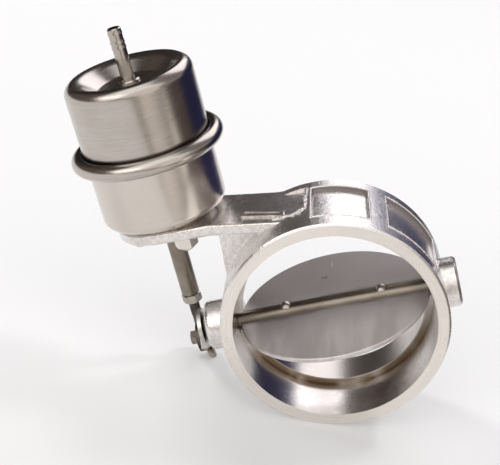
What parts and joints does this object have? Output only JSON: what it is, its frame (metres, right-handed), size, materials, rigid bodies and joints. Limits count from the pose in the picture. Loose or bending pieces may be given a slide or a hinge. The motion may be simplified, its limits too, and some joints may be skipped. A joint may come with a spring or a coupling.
{
  "type": "exhaust flap valve",
  "caption": "Cast pipe ring with a round flap on a cross shaft, turned by a lever and rod from a vacuum can on a cast arm.",
  "frame": {"origin": "where the flap shaft's axis crosses the pipe's axis", "axes": "+Y along the pipe from the front face to the rear, +X along the flap shaft away from the lever, +Z along the actuator rod towards the can"},
  "size_m": [0.1368, 0.088, 0.1615],
  "materials": {
    "cast_steel": "cast stainless steel, tumbled bright",
    "can_steel": "pressed stainless sheet, finely brushed",
    "disc_steel": "warm grey rolled stainless sheet",
    "shaft_steel": "turned stainless bar, slightly tanned",
    "plated_steel": "zinc plated fasteners",
    "dark_steel": "dark oiled steel",
    "lever_steel": "pressed and plated steel",
    "spring_steel": "drawn spring wire",
    "graphite": "pressed graphite packing",
    "rubber": "matte black silicone rubber"
  },
  "bodies": {
    "housing": {"valve_body": "cast_steel", "left_bush": "shaft_steel", "right_bush": "shaft_steel", "shaft_seal": "graphite", "lower_shell": "can_steel", "upper_shell": "can_steel", "vacuum_nipple": "can_steel", "nipple_collar": "can_steel", "diaphragm": "rubber", "spring_seat": "plated_steel", "return_spring": "spring_steel", "mounting_studs": "plated_steel", "stud_washers": "plated_steel", "stud_nuts": "plated_steel"},
    "flap": {"shaft": "shaft_steel", "flap_disc": "disc_steel", "flap_rivets": "plated_steel", "lever": "lever_steel", "spring_washer": "spring_steel", "pivot_bolt": "plated_steel", "pivot_washer": "plated_steel", "pivot_nut": "plated_steel"},
    "rod": {"rod_end": "dark_steel", "lock_nut": "plated_steel", "actuator_rod": "shaft_steel"},
    "piston": {"piston_cup": "plated_steel", "retainer_plate": "plated_steel", "piston_rivet": "plated_steel"}
  },
  "joints": [
    {"name": "flap_turn", "type": "hinge", "parent": "housing", "child": "flap", "pos_m": [0, 0, 0], "axis": [1, 0, 0], "range_deg": [0, 86.4], "stiffness_Nm_per_rad": 0.16, "springref_deg": -49.85},
    {"name": "rod_swing", "type": "hinge", "parent": "flap", "child": "rod", "pos_m": [-0.0584, 0.021, -0.0156], "axis": [1, 0, 0], "range_deg": [-86.4, 0]},
    {"name": "piston_slide", "type": "slide", "parent": "housing", "child": "piston", "axis": [0, 0, 1], "range_m": [0, 0.03559], "deforming": ["return_spring", "diaphragm"]}
  ],
  "couplings": [
    {"joint": "rod_swing", "follows": "flap_turn", "ratio": -1},
    {"joint": "piston_slide", "follows": "flap_turn", "m_per_rad": 0.023594}
  ]
}
